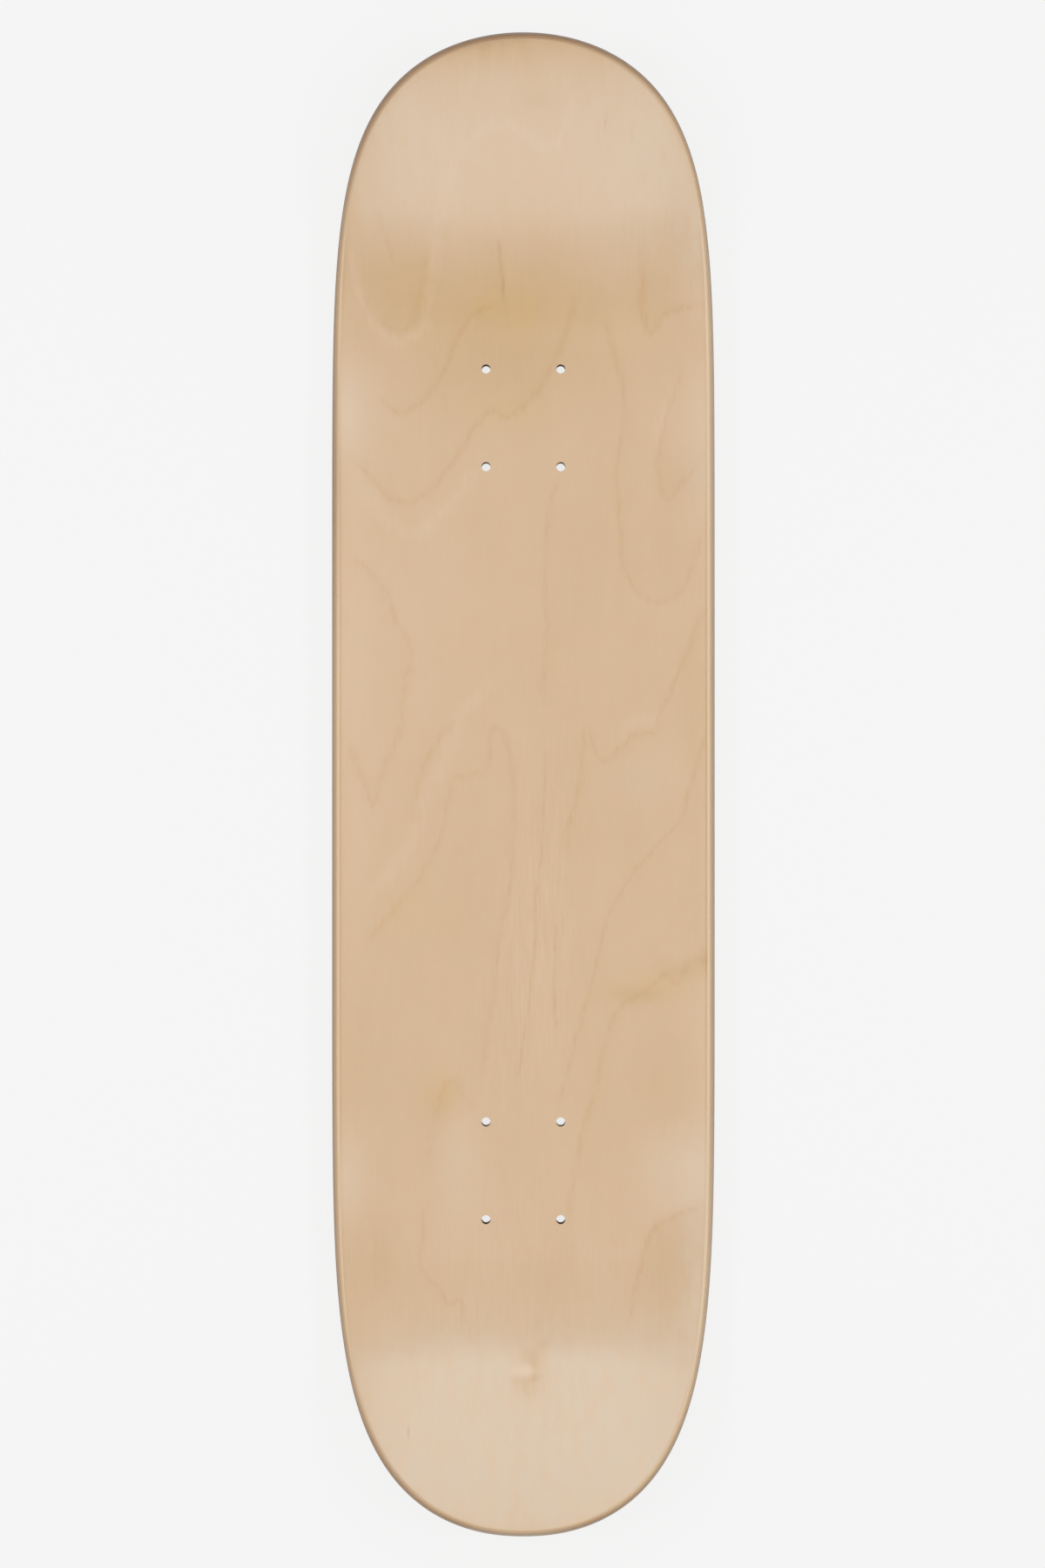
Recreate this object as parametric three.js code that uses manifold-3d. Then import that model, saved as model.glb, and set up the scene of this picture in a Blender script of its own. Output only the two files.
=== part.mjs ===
// A seven-ply skateboard deck: pressed maple with a dished middle, a raised nose and a raised tail.
// Millimetres. +Z is up, +Y runs to the nose and +X to the right of a rider who faces the nose.
// The origin lies on the flat underside, midway between the two truck bolt patterns.
import * as THREE from "three";
import { mergeVertices } from "three/addons/utils/BufferGeometryUtils.js";
import Module from "manifold-3d";

const wasm = await Module();
wasm.setup();

// Truck bolt patterns: the wheelbase lies between the two inner rows of bolts.
const WHEELBASE = 361.95;
const BOLT_ROW_SPACING = 53.975;
const BOLT_PAIR_SPACING = 41.275;
const BOLT_HOLE_DIAMETER = 5;

// Plan of the deck's middle layer. The overhangs run from the outer bolts to the tips.
const DECK_WIDTH = 209.55;
const NOSE_OVERHANG = 177.8;
const TAIL_OVERHANG = 167.6;

// Roundness of the plan: 2 is an ellipse, and a higher number fills the corner more.
const NOSE_ROUNDNESS_ACROSS = 2.03;
const NOSE_ROUNDNESS_ALONG = 8.7;
const TAIL_ROUNDNESS_ACROSS = 2.18;
const TAIL_ROUNDNESS_ALONG = 7.2;

// Laminate: seven rotary-cut veneers with a thin line of glue between each two.
const VENEER_THICKNESS = 1.45;
const GLUE_LINE = 0.1;

// Kicks: each bends up on an arc that starts just past the outer bolts, then runs straight.
const BOLT_TO_BEND = 20;
const NOSE_BEND_RADIUS = 190;
const NOSE_ANGLE = THREE.MathUtils.degToRad(21);
const TAIL_BEND_RADIUS = 180;
const TAIL_ANGLE = THREE.MathUtils.degToRad(20.5);

// Dish across the deck: a flat strip for the trucks, with the rails raised on either side.
const FLAT_STRIP_WIDTH = 58;
const RAIL_RISE = 11;
const DISH_FADE_LENGTH = 120;
const KICK_DISH_SHARE = 0.35;

// Rails: both edges are rounded over with a router bit that stands a little proud of the face.
const EDGE_RADIUS = 3.2;
const ROUTER_PROUD = 0.2;

// Facets, and the overruns that keep cutting faces apart.
const DISH_STEPS = 4;
const BEND_STEPS = 8;
const KICK_STEPS = 4;
const RAIL_STEPS = 2;
const END_STEPS = 14;
const EDGE_STEPS = 2;
const HOLE_SIDES = 12;
const BLANK_MARGIN = 6;
const DRILL_OVERRUN = 2;
const SLOPE_PROBE = 0.01;

// From the underside up: long veneers run with the deck, crossbands run across it.
const LAYUP = [
  { name: "bottom_face_veneer", color: "#d8ba94" },
  { name: "lower_core_veneer", color: "#dcc19a" },
  { name: "lower_crossband", color: "#b48a60" },
  { name: "middle_core_veneer", color: "#dcc19a" },
  { name: "upper_crossband", color: "#b48a60" },
  { name: "upper_core_veneer", color: "#dcc19a" },
  { name: "top_face_veneer", color: "#d7ba99" },
];

// Sizes that follow from the ones above.
const HALF_WIDTH = DECK_WIDTH / 2;
const FLAT_HALF = FLAT_STRIP_WIDTH / 2;
const PLY_PITCH = VENEER_THICKNESS + GLUE_LINE;
const DECK_THICKNESS = LAYUP.length * PLY_PITCH - GLUE_LINE;
const OUTER_BOLT = WHEELBASE / 2 + BOLT_ROW_SPACING;
const BEND_START = OUTER_BOLT + BOLT_TO_BEND;

const NOSE = {
  tip: OUTER_BOLT + NOSE_OVERHANG,
  roundnessAcross: NOSE_ROUNDNESS_ACROSS,
  roundnessAlong: NOSE_ROUNDNESS_ALONG,
  radius: NOSE_BEND_RADIUS,
  angle: NOSE_ANGLE,
  bendRun: NOSE_BEND_RADIUS * Math.sin(NOSE_ANGLE),
};
const TAIL = {
  tip: OUTER_BOLT + TAIL_OVERHANG,
  roundnessAcross: TAIL_ROUNDNESS_ACROSS,
  roundnessAlong: TAIL_ROUNDNESS_ALONG,
  radius: TAIL_BEND_RADIUS,
  angle: TAIL_ANGLE,
  bendRun: TAIL_BEND_RADIUS * Math.sin(TAIL_ANGLE),
};

// The press mould: how high the deck's middle layer stands over its own flat part.
function kickHeight(y) {
  const end = y > 0 ? NOSE : TAIL;
  const past = Math.abs(y) - BEND_START;
  if (past <= 0) return 0;
  if (past < end.bendRun) return end.radius - Math.sqrt(end.radius ** 2 - past ** 2);
  const arcRise = end.radius * (1 - Math.cos(end.angle));
  return arcRise + (past - end.bendRun) * Math.tan(end.angle);
}

function dishHeight(x, y) {
  const faded = THREE.MathUtils.smoothstep(Math.abs(y), BEND_START, BEND_START + DISH_FADE_LENGTH);
  const rise = RAIL_RISE * THREE.MathUtils.lerp(1, KICK_DISH_SHARE, faded);
  const outward = Math.max(0, Math.abs(x) - FLAT_HALF) / (HALF_WIDTH - FLAT_HALF);
  return rise * outward ** 2;
}

function mouldHeight(x, y) {
  return kickHeight(y) + dishHeight(x, y);
}

// A point that lies this far above the middle layer, square to the mould.
function onMould(x, y, offset) {
  const slopeX = (mouldHeight(x + SLOPE_PROBE, y) - mouldHeight(x - SLOPE_PROBE, y)) / (2 * SLOPE_PROBE);
  const slopeY = (mouldHeight(x, y + SLOPE_PROBE) - mouldHeight(x, y - SLOPE_PROBE)) / (2 * SLOPE_PROBE);
  const normal = new THREE.Vector3(-slopeX, -slopeY, 1).normalize();
  return new THREE.Vector3(x, y, DECK_THICKNESS / 2 + mouldHeight(x, y)).addScaledVector(normal, offset);
}

// Evenly spaced numbers from first to last, with both ends.
function evenSteps(first, last, steps) {
  return Array.from({ length: steps + 1 }, (_, i) => THREE.MathUtils.lerp(first, last, i / steps));
}

function negated(values) {
  return values.map((value) => -value).reverse();
}

// Where the wood folds: close together in the dish and in the bends.
function foldsToRail() {
  const dish = evenSteps(FLAT_HALF, HALF_WIDTH, DISH_STEPS).slice(0, -1);
  return [...dish, HALF_WIDTH + BLANK_MARGIN];
}

function foldsToTip(end) {
  const bendEnd = BEND_START + end.bendRun;
  const bend = evenSteps(BEND_START, bendEnd, BEND_STEPS);
  const kick = evenSteps(bendEnd, end.tip, KICK_STEPS).slice(1, -1);
  return [...bend, ...kick, end.tip + BLANK_MARGIN];
}

const FOLDS_ACROSS = [...negated(foldsToRail()), ...foldsToRail()];
const FOLDS_ALONG = [...negated(foldsToTip(TAIL)), ...foldsToTip(NOSE)];

// Which two folds a place lies between, and its share of the way from one to the other.
function placeAmong(folds, value) {
  const next = folds.findIndex((fold) => fold > value);
  const low = folds[next - 1];
  return { low, high: folds[next], share: (value - low) / (folds[next] - low) };
}

// Moves a point of the flat stack into the pressed deck. All layers fold on the same lines:
// each panel between folds stays two flat triangles, split from its low to its high corner.
function press(point) {
  const across = placeAmong(FOLDS_ACROSS, point.x);
  const along = placeAmong(FOLDS_ALONG, point.y);
  const lowCorner = onMould(across.low, along.low, point.z);
  const highCorner = onMould(across.high, along.high, point.z);
  const rightOfSplit = across.share > along.share;
  const thirdCorner = rightOfSplit
    ? onMould(across.high, along.low, point.z)
    : onMould(across.low, along.high, point.z);
  const larger = Math.max(across.share, along.share);
  const smaller = Math.min(across.share, along.share);
  point.copy(lowCorner.multiplyScalar(1 - larger));
  point.addScaledVector(thirdCorner, larger - smaller).addScaledVector(highCorner, smaller);
}

// A solid for cutting and joining. Where facets count, each keeps its edges in a flat face.
function solidOf(geometry, keepFacets = false) {
  const bare = geometry.clone();
  bare.deleteAttribute("normal");
  bare.deleteAttribute("uv");
  const merged = mergeVertices(bare);
  const triVerts = new Uint32Array(merged.index.array);
  const parts = {
    numProp: 3,
    vertProperties: new Float32Array(merged.attributes.position.array),
    triVerts,
  };
  if (keepFacets) parts.faceID = Uint32Array.from({ length: triVerts.length / 3 }, (_, i) => i);
  return new wasm.Manifold(new wasm.Mesh(parts));
}

function geometryOf(solid) {
  const mesh = solid.getMesh();
  const geometry = new THREE.BufferGeometry();
  geometry.setAttribute("position", new THREE.BufferAttribute(mesh.vertProperties, mesh.numProp));
  geometry.setIndex(new THREE.BufferAttribute(mesh.triVerts, 1));
  return geometry;
}

// Gives a flat face a thickness: the face itself, its twin below and a rim between them.
function thicken(face, thickness, middle) {
  const corners = face.attributes.position;
  const places = [];
  for (const level of [middle + thickness / 2, middle - thickness / 2]) {
    for (let i = 0; i < corners.count; i += 1) places.push(corners.getX(i), corners.getY(i), level);
  }
  const triangles = [];
  const edges = new Set();
  const top = face.index.array;
  for (let i = 0; i < top.length; i += 3) {
    const [a, b, c] = [top[i], top[i + 1], top[i + 2]];
    triangles.push(a, b, c, a + corners.count, c + corners.count, b + corners.count);
    [`${a} ${b}`, `${b} ${c}`, `${c} ${a}`].forEach((edge) => edges.add(edge));
  }
  for (const edge of edges) {
    const [a, b] = edge.split(" ").map(Number);
    if (edges.has(`${b} ${a}`)) continue;
    triangles.push(a + corners.count, b + corners.count, b, a + corners.count, b, a);
  }
  const sheet = new THREE.BufferGeometry();
  sheet.setAttribute("position", new THREE.Float32BufferAttribute(places, 3));
  return sheet.setIndex(triangles);
}

// One flat sheet of veneer, divided along the folds.
function veneerBlank(middle) {
  const columns = FOLDS_ACROSS.length - 1;
  const rows = FOLDS_ALONG.length - 1;
  const face = new THREE.PlaneGeometry(columns, rows, columns, rows);
  const corners = face.attributes.position;
  for (let i = 0; i < corners.count; i += 1) {
    const column = Math.round(corners.getX(i) + columns / 2);
    const row = Math.round(corners.getY(i) + rows / 2);
    corners.setXY(i, FOLDS_ACROSS[column], FOLDS_ALONG[row]);
  }
  return solidOf(thicken(face, VENEER_THICKNESS, middle), true);
}

// A quarter of the plan, from the widest place to the tip, as angles round its superellipse.
// The points lie midway between the folds, so that no corner of the cut falls on a fold.
function quarterAngles(end) {
  const bend = evenSteps(BEND_START, BEND_START + end.bendRun, BEND_STEPS);
  const rail = evenSteps(-BEND_START, BEND_START, 2 * RAIL_STEPS + 1).slice(RAIL_STEPS + 1, -1);
  const midBend = bend.slice(1).map((value, i) => (value + bend[i]) / 2);
  const toRound = [...rail, ...midBend].map((y) => Math.asin((y / end.tip) ** (end.roundnessAlong / 2)));
  const lastAngle = toRound[toRound.length - 1];
  return [...toRound, ...evenSteps(lastAngle, Math.PI / 2, END_STEPS).slice(1)];
}

function quarterOutline(end) {
  return quarterAngles(end).map((angle) => new THREE.Vector2(
    HALF_WIDTH * Math.max(0, Math.cos(angle)) ** (2 / end.roundnessAcross),
    end.tip * Math.sin(angle) ** (2 / end.roundnessAlong),
  ));
}

// The plan cut through the whole stack, with the rails rounded over on both sides.
function planCutter() {
  const nose = quarterOutline(NOSE);
  const tail = quarterOutline(TAIL);
  const outline = [
    ...nose,
    ...nose.slice(0, -1).reverse().map((point) => new THREE.Vector2(-point.x, point.y)),
    ...tail.map((point) => new THREE.Vector2(-point.x, -point.y)),
    ...tail.slice(0, -1).reverse().map((point) => new THREE.Vector2(point.x, -point.y)),
  ];
  const straight = DECK_THICKNESS + 2 * (ROUTER_PROUD - EDGE_RADIUS);
  const body = new THREE.ExtrudeGeometry(new THREE.Shape(outline), {
    depth: straight,
    bevelThickness: EDGE_RADIUS,
    bevelSize: EDGE_RADIUS,
    bevelOffset: -EDGE_RADIUS,
    bevelSegments: EDGE_STEPS,
  });
  return solidOf(body.translate(0, 0, -straight / 2));
}

// The eight bolt holes, drilled square to the blank.
function boltDrills() {
  const drills = [];
  for (const end of [1, -1]) {
    for (const row of [WHEELBASE / 2, OUTER_BOLT]) {
      for (const side of [1, -1]) {
        const length = DECK_THICKNESS + 2 * DRILL_OVERRUN;
        const radius = BOLT_HOLE_DIAMETER / 2;
        const drill = new THREE.CylinderGeometry(radius, radius, length, HOLE_SIDES);
        drill.rotateX(Math.PI / 2).translate((side * BOLT_PAIR_SPACING) / 2, end * row, 0);
        drills.push(solidOf(drill));
      }
    }
  }
  return drills;
}

// Cut in the flat, then pressed, so that rails and holes stand square to the bent wood.
function veneerGeometry(index, cutter, drills) {
  const middle = (index - (LAYUP.length - 1) / 2) * PLY_PITCH;
  const cut = drills.reduce((sheet, drill) => sheet.subtract(drill), veneerBlank(middle).intersect(cutter));
  const geometry = geometryOf(cut);
  const place = geometry.attributes.position;
  const point = new THREE.Vector3();
  for (let i = 0; i < place.count; i += 1) {
    press(point.fromBufferAttribute(place, i));
    place.setXYZ(i, point.x, point.y, point.z);
  }
  geometry.computeVertexNormals();
  return geometry;
}

const deck = new THREE.Group();
const cutter = planCutter();
const drills = boltDrills();
LAYUP.forEach(({ name, color }, index) => {
  const material = new THREE.MeshStandardMaterial({ color, roughness: 0.55, metalness: 0 });
  const veneer = new THREE.Mesh(veneerGeometry(index, cutter, drills), material);
  veneer.name = name;
  deck.add(veneer);
});

export default deck;
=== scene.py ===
# A bare seven-ply skateboard deck seen from above: pressed maple on a pale studio floor.
import math

import bpy
import numpy as np
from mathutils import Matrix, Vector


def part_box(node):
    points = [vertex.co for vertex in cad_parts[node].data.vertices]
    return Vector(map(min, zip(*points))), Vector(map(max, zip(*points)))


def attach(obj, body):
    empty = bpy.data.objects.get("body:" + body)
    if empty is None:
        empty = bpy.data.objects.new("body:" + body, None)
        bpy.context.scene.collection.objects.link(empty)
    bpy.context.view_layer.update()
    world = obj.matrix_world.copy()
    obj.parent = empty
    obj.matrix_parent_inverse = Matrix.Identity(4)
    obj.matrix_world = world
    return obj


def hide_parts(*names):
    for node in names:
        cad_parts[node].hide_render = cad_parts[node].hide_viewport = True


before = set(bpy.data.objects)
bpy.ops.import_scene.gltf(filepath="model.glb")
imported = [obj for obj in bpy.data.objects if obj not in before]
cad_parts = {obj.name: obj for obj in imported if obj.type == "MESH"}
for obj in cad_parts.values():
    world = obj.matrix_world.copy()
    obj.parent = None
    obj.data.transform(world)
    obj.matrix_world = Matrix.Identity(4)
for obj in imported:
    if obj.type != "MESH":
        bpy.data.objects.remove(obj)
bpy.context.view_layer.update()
scene = bpy.context.scene
MM = 0.001


# Bottom face veneer
# The lowest of seven sheets of rotary-cut maple. The glued stack is pressed in a mould with a
# dished middle and bent ends, sawn to the plan, rounded along its edges and drilled.
TRUCK_HOLES = {
    "Hole radius": 2.5 * MM,
    "Drill length": 21.5 * MM,
    "Pair spacing": 41.275 * MM,
    "Row spacing": 53.975 * MM,
    "Inner bolt": 361.95 / 2 * MM,
}
OUTER_BOLT = TRUCK_HOLES["Inner bolt"] + TRUCK_HOLES["Row spacing"]
DISH_AND_KICKS = {
    "Bend start": OUTER_BOLT + 20 * MM,
    "Nose bend radius": 190 * MM,
    "Nose angle": math.radians(21),
    "Tail bend radius": 180 * MM,
    "Tail angle": math.radians(20.5),
    "Flat half": 29 * MM,
    "Rail rise": 11 * MM,
    "Dish fade": 120 * MM,
    "Kick dish share": 0.35,
}
PLAN = {
    "Half width": 209.55 / 2 * MM,
    "Nose tip": 412.755 * MM,
    "Nose roundness across": 2.03,
    "Nose roundness along": 8.7,
    "Tail tip": 402.555 * MM,
    "Tail roundness across": 2.18,
    "Tail roundness along": 7.2,
    "Edge radius": 3.2 * MM,
    "Router proud": 0.2 * MM,
}
VENEER = 1.45 * MM
GLUE_LINE = 0.1 * MM
PLIES = 7
HALF_STACK = (PLIES * VENEER + (PLIES - 1) * GLUE_LINE) / 2
EVEN_ROW_SHARE = 0.8
ROWS = 541
FACE_COLUMNS = 131
HIDDEN_COLUMNS = 25
RAIL_RINGS = 7
DRILL_SIDES = 64
WELD_REACH = 0.001 * MM
CREASE_ANGLE = math.radians(35)


class Wire:
    """A number in a node tree. Sums on it add math nodes to the tree."""

    def __init__(self, tree, socket):
        self.tree = tree
        self.socket = socket

    def through(self, operation, *values, clamp=False):
        node = self.tree.nodes.new("ShaderNodeMath")
        node.operation = operation
        node.use_clamp = clamp
        for entry, value in zip(node.inputs, values):
            plug(self.tree, entry, value)
        return Wire(self.tree, node.outputs[0])

    def __add__(self, other):
        return self.through("ADD", self, other)

    def __sub__(self, other):
        return self.through("SUBTRACT", self, other)

    def __rsub__(self, other):
        return self.through("SUBTRACT", other, self)

    def __mul__(self, other):
        return self.through("MULTIPLY", self, other)

    def __truediv__(self, other):
        return self.through("DIVIDE", self, other)

    def __rtruediv__(self, other):
        return self.through("DIVIDE", other, self)

    def __pow__(self, other):
        return self.through("POWER", self, other)

    __radd__ = __add__
    __rmul__ = __mul__

    def size(self):
        return self.through("ABSOLUTE", self)

    def sign(self):
        return self.through("SIGN", self)

    def at_least(self, other):
        return self.through("MAXIMUM", self, other)

    def at_most(self, other):
        return self.through("MINIMUM", self, other)

    def over(self, other):
        return self.through("GREATER_THAN", self, other)

    def sine(self):
        return self.through("SINE", self)

    def tangent(self):
        return self.through("TANGENT", self)

    def fraction(self):
        return self.through("FRACT", self)

    def exp(self):
        return self.through("EXPONENT", self)

    def clamped(self):
        return self.through("ADD", self, 0.0, clamp=True)


def plug(tree, entry, value):
    if isinstance(value, Wire):
        tree.links.new(value.socket, entry)
    elif isinstance(value, bpy.types.NodeSocket):
        tree.links.new(value, entry)
    else:
        entry.default_value = value


def vector_of(tree, x, y, z):
    node = tree.nodes.new("ShaderNodeCombineXYZ")
    for entry, value in zip(node.inputs, (x, y, z)):
        plug(tree, entry, value)
    return node.outputs[0]


def split(tree, vector):
    """The three parts of a vector."""
    parts = tree.nodes.new("ShaderNodeSeparateXYZ")
    tree.links.new(vector, parts.inputs[0])
    return [Wire(tree, out) for out in parts.outputs]


def here(tree):
    """The three coordinates of the point that is being placed."""
    return split(tree, tree.nodes.new("GeometryNodeInputPosition").outputs[0])


def moved(tree, geometry, position):
    node = tree.nodes.new("GeometryNodeSetPosition")
    tree.links.new(geometry, node.inputs["Geometry"])
    tree.links.new(position, node.inputs["Position"])
    return node.outputs[0]


def marked(tree, geometry, name, kind, domain, value):
    """Keeps a value with the points or faces, for the wood to read."""
    node = tree.nodes.new("GeometryNodeStoreNamedAttribute")
    node.data_type = kind
    node.domain = domain
    node.inputs["Name"].default_value = name
    tree.links.new(geometry, node.inputs["Geometry"])
    plug(tree, node.inputs["Value"], value)
    return node.outputs[0]


def unit_side(tree, columns, rows, place, flipped):
    """One side of the flat stack as a grid: a face, or the rail on the left or the right."""
    grid = tree.nodes.new("GeometryNodeMeshGrid")
    for entry, value in zip(grid.inputs, (2.0, 2.0, columns, rows)):
        plug(tree, entry, value)
    x, y, _ = here(tree)
    side = moved(tree, grid.outputs["Mesh"], place(x, y))
    if not flipped:
        return side
    turned = tree.nodes.new("GeometryNodeFlipFaces")
    tree.links.new(side, turned.inputs[0])
    return turned.outputs[0]


def of_end(size, nose, name):
    """The nose's size on the nose half of the deck, and the tail's on the other."""
    return size["Tail " + name] + nose * (size["Nose " + name] - size["Tail " + name])


def on_plan(tree, size):
    """Sends the unit stack to the sawn and rounded plan; even rows, closer towards the tips."""
    across, along, level = here(tree)
    nose = along.over(0.0)
    even = size["Even share"]
    reach = along.size()
    last = reach.over(even)
    close = 1.0 - (1.0 - reach) ** 2.0 / (1.0 - even ** 2.0)
    reach = last * close + (1.0 - last) * (2.0 * reach / (1.0 + even))
    depth = size["Half stack"] + size["Router proud"] - level.size()
    cut = (size["Edge radius"] - depth).at_least(0.0)
    inset = size["Edge radius"] - (size["Edge radius"] ** 2.0 - cut ** 2.0) ** 0.5
    narrowed = 1.0 - reach ** of_end(size, nose, "roundness along")
    fill = narrowed.at_least(0.0) ** (1.0 / of_end(size, nose, "roundness across"))
    x = across * (size["Half width"] - inset) * fill
    y = along.sign() * (of_end(size, nose, "tip") - inset) * reach
    return vector_of(tree, x, y, level)


def in_mould(tree, size):
    """Sends the flat stack to its place in the press, square to the middle of the stack."""
    x, y, level = here(tree)
    nose = y.over(0.0)
    radius = of_end(size, nose, "bend radius")
    angle = of_end(size, nose, "angle")
    past = (y.size() - size["Bend start"]).at_least(0.0)
    on_arc = past.at_most(radius * angle.sine())
    arc_height = (radius ** 2.0 - on_arc ** 2.0) ** 0.5
    kick = radius - arc_height + (past - on_arc) * angle.tangent()
    kick_slope = y.sign() * on_arc / arc_height
    faded = (past / size["Dish fade"]).at_most(1.0)
    dish_loss = 1.0 - size["Kick dish share"]
    rise = size["Rail rise"] * (1.0 - dish_loss * faded ** 2.0 * (3.0 - 2.0 * faded))
    rise_slope = size["Rail rise"] * dish_loss * 6.0 * faded * (faded - 1.0) / size["Dish fade"]
    dish_run = size["Half width"] - size["Flat half"]
    outward = (x.size() - size["Flat half"]).at_least(0.0) / dish_run
    height = kick + rise * outward ** 2.0
    slope_x = x.sign() * rise * 2.0 * outward / dish_run
    slope_y = kick_slope + y.sign() * rise_slope * outward ** 2.0
    lift = level / (1.0 + slope_x ** 2.0 + slope_y ** 2.0) ** 0.5
    return vector_of(tree, x - lift * slope_x, y - lift * slope_y, size["Half stack"] + height + lift)


def truck_drills(tree, size):
    """Eight drills, in two rows of two at either end of the deck."""
    grid = tree.nodes.new("GeometryNodeMeshGrid")
    for entry, value in zip(grid.inputs, (size["Pair spacing"], 3.0, 2, 4)):
        plug(tree, entry, value)
    x, y, _ = here(tree)
    row = size["Inner bolt"] + (y.size() - 0.5) * size["Row spacing"]
    places = moved(tree, grid.outputs["Mesh"], vector_of(tree, x, y.sign() * row, size["Half stack"]))
    drill = tree.nodes.new("GeometryNodeMeshCylinder")
    plug(tree, drill.inputs["Vertices"], size["Drill sides"])
    plug(tree, drill.inputs["Radius"], size["Hole radius"])
    plug(tree, drill.inputs["Depth"], size["Drill length"])
    copies = tree.nodes.new("GeometryNodeInstanceOnPoints")
    tree.links.new(places, copies.inputs["Points"])
    tree.links.new(drill.outputs["Mesh"], copies.inputs["Instance"])
    real = tree.nodes.new("GeometryNodeRealizeInstances")
    tree.links.new(copies.outputs[0], real.inputs[0])
    return real.outputs[0]


def unit_veneer(tree, size):
    """The sheet before it is sawn: two faces and two rails, from -1 to 1 across and along."""
    lower, upper = size["Lower level"], size["Upper level"]

    def above(x, y):
        return vector_of(tree, x, y, upper)

    def below(x, y):
        return vector_of(tree, x, y, lower)

    def rail(side):
        return lambda x, y: vector_of(tree, side, y, lower + (x + 1.0) / 2.0 * (upper - lower))

    sides = (
        (size["Columns above"], above, False, 0.0),
        (size["Columns below"], below, True, 0.0),
        (size["Rail rings"], rail(1.0), True, 1.0),
        (size["Rail rings"], rail(-1.0), False, 1.0),
    )
    join = tree.nodes.new("GeometryNodeJoinGeometry")
    for columns, place, flipped, sawn in sides:
        side = unit_side(tree, columns, size["Rows"], place, flipped)
        tree.links.new(marked(tree, side, "sawn", "FLOAT", "FACE", sawn), join.inputs[0])
    return join.outputs[0]


def veneer_tree():
    """The tree that saws, presses and drills one sheet."""
    tree = bpy.data.node_groups.new("pressed_veneer", "GeometryNodeTree")
    tree.interface.new_socket("Geometry", in_out="OUTPUT", socket_type="NodeSocketGeometry")
    lengths = {
        **DISH_AND_KICKS,
        **PLAN,
        **TRUCK_HOLES,
        "Half stack": HALF_STACK,
        "Even share": EVEN_ROW_SHARE,
        "Lower level": -HALF_STACK,
        "Upper level": VENEER - HALF_STACK,
    }
    counts = {
        "Rows": ROWS,
        "Columns above": HIDDEN_COLUMNS,
        "Columns below": HIDDEN_COLUMNS,
        "Rail rings": RAIL_RINGS,
        "Drill sides": DRILL_SIDES,
    }
    for values, kind in ((lengths, "NodeSocketFloat"), (counts, "NodeSocketInt")):
        for name, value in values.items():
            tree.interface.new_socket(name, in_out="INPUT", socket_type=kind).default_value = value
    tree.interface.new_socket("Wood", in_out="INPUT", socket_type="NodeSocketMaterial")
    entry = tree.nodes.new("NodeGroupInput")
    size = {out.name: Wire(tree, out) for out in entry.outputs if out.name}
    outlined = moved(tree, unit_veneer(tree, size), on_plan(tree, size))
    closed = tree.nodes.new("GeometryNodeMergeByDistance")
    closed.inputs["Distance"].default_value = WELD_REACH
    tree.links.new(outlined, closed.inputs["Geometry"])
    flat_place = tree.nodes.new("GeometryNodeInputPosition").outputs[0]
    grained = marked(tree, closed.outputs[0], "flat", "FLOAT_VECTOR", "POINT", flat_place)
    pressed = moved(tree, grained, in_mould(tree, size))
    drilled = tree.nodes.new("GeometryNodeMeshBoolean")
    drilled.operation = "DIFFERENCE"
    drilled.solver = "MANIFOLD"
    tree.links.new(pressed, drilled.inputs["Mesh 1"])
    drills = truck_drills(tree, size)
    for mark in ("sawn", "drilled"):
        drills = marked(tree, drills, mark, "FLOAT", "FACE", 1.0)
    tree.links.new(drills, drilled.inputs["Mesh 2"])
    real = tree.nodes.new("GeometryNodeRealizeInstances")
    tree.links.new(drilled.outputs["Mesh"], real.inputs[0])
    wood = tree.nodes.new("GeometryNodeSetMaterial")
    tree.links.new(real.outputs[0], wood.inputs["Geometry"])
    plug(tree, wood.inputs["Material"], size["Wood"])
    leave = tree.nodes.new("NodeGroupOutput")
    tree.links.new(wood.outputs[0], leave.inputs[0])
    return tree


press = veneer_tree()
EDGE_SHADING = (
    # place along the deck in mm, and how much painted shade darkens the sawn edge there on the left
    # and on the right; below zero it is painted light that makes the edge paler
    (-402.5, -0.45, -0.45),
    (-399.5, -0.25, -0.2),
    (-395, 0.06, 0.0),
    (-375, 0.36, 0.02),
    (-352, 0.42, 0.1),
    (-320, 0.15, -0.1),
    (-290, 0.05, -0.25),
    (-250, 0.0, -0.3),
    (-170, 0.0, -0.15),
    (-80, 0.03, -0.16),
    (80, 0.0, -0.15),
    (120, 0.12, -0.2),
    (170, 0.3, -0.22),
    (220, 0.14, -0.25),
    (260, 0.0, -0.3),
    (300, 0.12, -0.15),
    (322, 0.26, -0.05),
    (357, 0.6, 0.13),
    (380, 0.65, 0.25),
    (397, 0.52, 0.34),
    (413, 0.46, 0.32),
)
SIDE_BLEND = 50  # mm, from the left side's marks to the right side's


def places_of(sheet):
    """Where the points of the sheet are on the plan, across and along, in mm."""
    points = np.empty(3 * len(sheet.data.vertices))
    sheet.data.vertices.foreach_get("co", points)
    return points.reshape(-1, 3)[:, :2] / MM


def mark_edge_shading(sheet):
    """Keeps with each point the painted shade of the sawn edge beside it; below zero, painted light."""
    x, y = places_of(sheet).T
    along, left, right = np.array(EDGE_SHADING, float).T
    to_right = np.clip(0.5 + x / SIDE_BLEND, 0, 1)
    edge_shading = np.interp(y, along, left) * (1 - to_right) + np.interp(y, along, right) * to_right
    sheet.data.attributes.new("edge_shading", "FLOAT", "POINT").data.foreach_set("value", edge_shading)


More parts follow.
